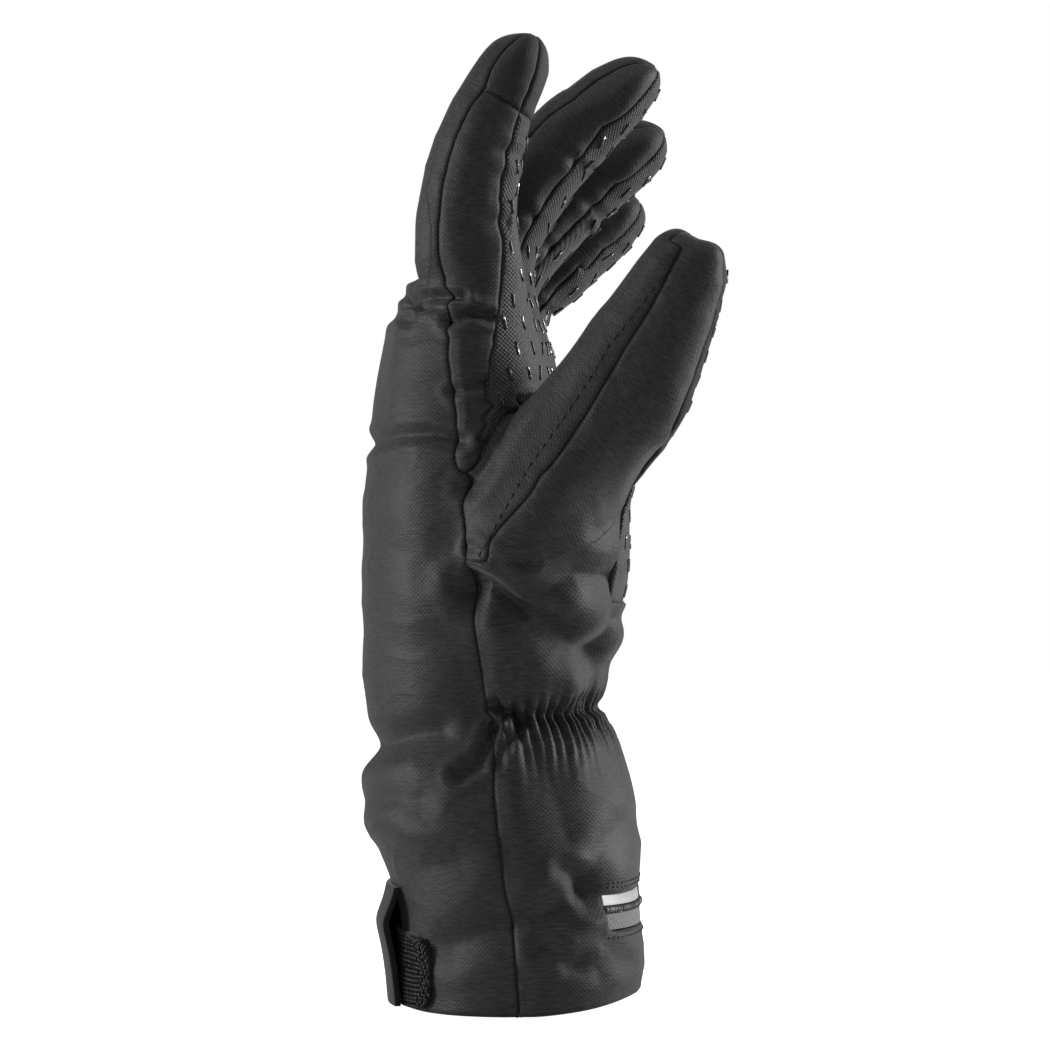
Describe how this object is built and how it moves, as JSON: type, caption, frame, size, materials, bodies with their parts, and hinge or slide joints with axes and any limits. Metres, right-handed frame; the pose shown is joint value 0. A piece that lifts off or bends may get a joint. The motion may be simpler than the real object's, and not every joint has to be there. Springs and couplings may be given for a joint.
{
  "type": "left heated glove",
  "caption": "Padded softshell left glove with long gathered cuff, textured grip palm, touch fingertip, cuff strap and zipped pocket.",
  "frame": {"origin": "in the cuff's mouth at the hem, where the hand goes in, 4 mm from the mouth's middle toward the back of the hand", "axes": "+Z toward the fingertips, +X toward the palm, -X the back of the hand, -Y the thumb side"},
  "size_m": [0.1076, 0.1243, 0.2901],
  "materials": {
    "softshell": "matte black woven softshell",
    "grip_fabric": "near-black knit grip fabric",
    "touch_fabric": "matte black touch fabric",
    "zip_tape": "light grey woven tape",
    "zip_coil": "light grey coated coil",
    "slider_metal": "dark satin metal",
    "strap": "matte black webbing",
    "hook_tape": "black hook tape",
    "grip_print": "glossy raised black silicone dashes",
    "thread": "black sewing thread"
  },
  "bodies": {
    "root": {"back_panel": "softshell", "front_panel": "softshell", "thumb_back": "softshell", "index_side": "softshell", "fourchette_index_middle": "softshell", "fourchette_middle_ring": "softshell", "fourchette_ring_little": "softshell", "palm_grip": "grip_fabric", "thumb_grip": "grip_fabric", "index_tip_side": "touch_fabric", "index_tip_pad": "touch_fabric", "zip_tape_upper": "zip_tape", "zip_tape_lower": "zip_tape", "zip_coil": "zip_coil", "zip_slider": "slider_metal", "zip_pull": "slider_metal", "cuff_strap": "strap", "cuff_hook_patch": "hook_tape"}
  },
  "joints": []
}
